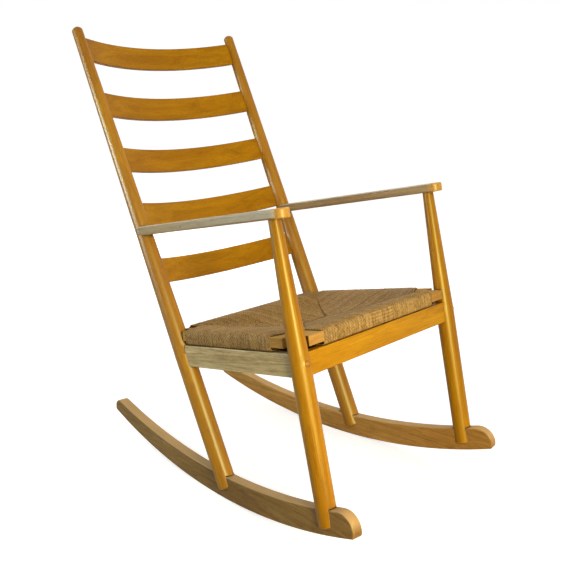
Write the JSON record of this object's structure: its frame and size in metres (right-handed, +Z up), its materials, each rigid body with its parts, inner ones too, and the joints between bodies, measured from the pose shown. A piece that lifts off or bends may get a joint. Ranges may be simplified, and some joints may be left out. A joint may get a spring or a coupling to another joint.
{
  "type": "rocking chair",
  "caption": "High-backed wooden rocking chair with turned legs, bowed ladder-back slats, sloping armrests, toed-in curved rockers and a loose woven cord seat.",
  "frame": {"origin": "on the floor, in the middle of the chair's footprint, with the chair at rest on its rockers", "axes": "+Z up, -Y the way the sitter faces, +X the sitter's left"},
  "size_m": [0.625, 0.9619, 0.9928],
  "materials": {
    "honey_wood": "satin",
    "seat_frame_wood": "satin",
    "seat_cord": "matt woven cord",
    "screw_steel": "zinc plated"
  },
  "bodies": {
    "frame": {"left_rocker": "honey_wood", "left_front_leg": "honey_wood", "left_rear_post": "honey_wood", "left_armrest": "honey_wood", "left_side_rail": "honey_wood", "right_rocker": "honey_wood", "right_front_leg": "honey_wood", "right_rear_post": "honey_wood", "right_armrest": "honey_wood", "right_side_rail": "honey_wood", "front_rail": "honey_wood", "rear_rail": "honey_wood", "back_slat_1": "honey_wood", "back_slat_2": "honey_wood", "back_slat_3": "honey_wood", "back_slat_4": "honey_wood", "back_slat_5": "honey_wood", "arm_dowels": "honey_wood", "rail_screws": "screw_steel", "screw_plugs": "honey_wood"},
    "seat": {"seat_front_bar": "seat_frame_wood", "seat_rear_bar": "seat_frame_wood", "seat_left_bar": "seat_frame_wood", "seat_right_bar": "seat_frame_wood", "woven_seat": "seat_cord"}
  },
  "joints": [
    {"name": "seat_lift", "type": "slide", "parent": "frame", "child": "seat", "axis": [0, 0.3065, 0.9519], "range_m": [0, 0.08]}
  ]
}
